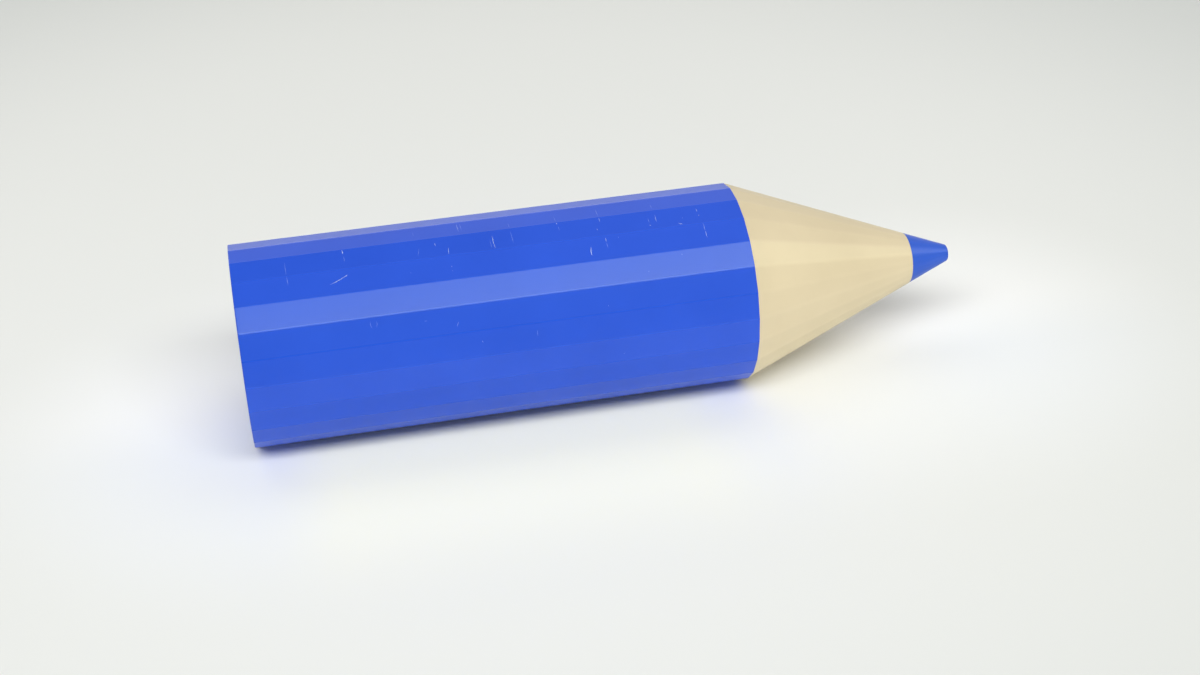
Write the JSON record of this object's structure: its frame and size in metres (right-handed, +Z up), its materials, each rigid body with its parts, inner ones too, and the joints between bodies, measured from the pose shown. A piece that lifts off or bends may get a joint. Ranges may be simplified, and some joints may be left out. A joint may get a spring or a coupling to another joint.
{
  "type": "large decorative pencil",
  "caption": "Oversized ornamental pencil lying on its side: a many-sided blue barrel, a tapered wood-coloured cone and a blunt blue tip.",
  "frame": {"origin": "on the ground under the middle of the pencil's length, straight below its axis", "axes": "+X along the pencil's axis towards the tip, +Z up, the barrel rests on its lowest flat"},
  "size_m": [0.289, 0.0794, 0.0793],
  "materials": {
    "barrel": "satin printed plastic, royal blue, fine layer lines round the axis, light scuffs",
    "cone": "matte printed plastic, pale wood colour, fine layer lines round the axis",
    "tip": "satin printed plastic, royal blue, fine layer lines round the axis"
  },
  "bodies": {
    "root": {"barrel": "barrel", "cone": "cone", "tip": "tip"}
  },
  "joints": []
}
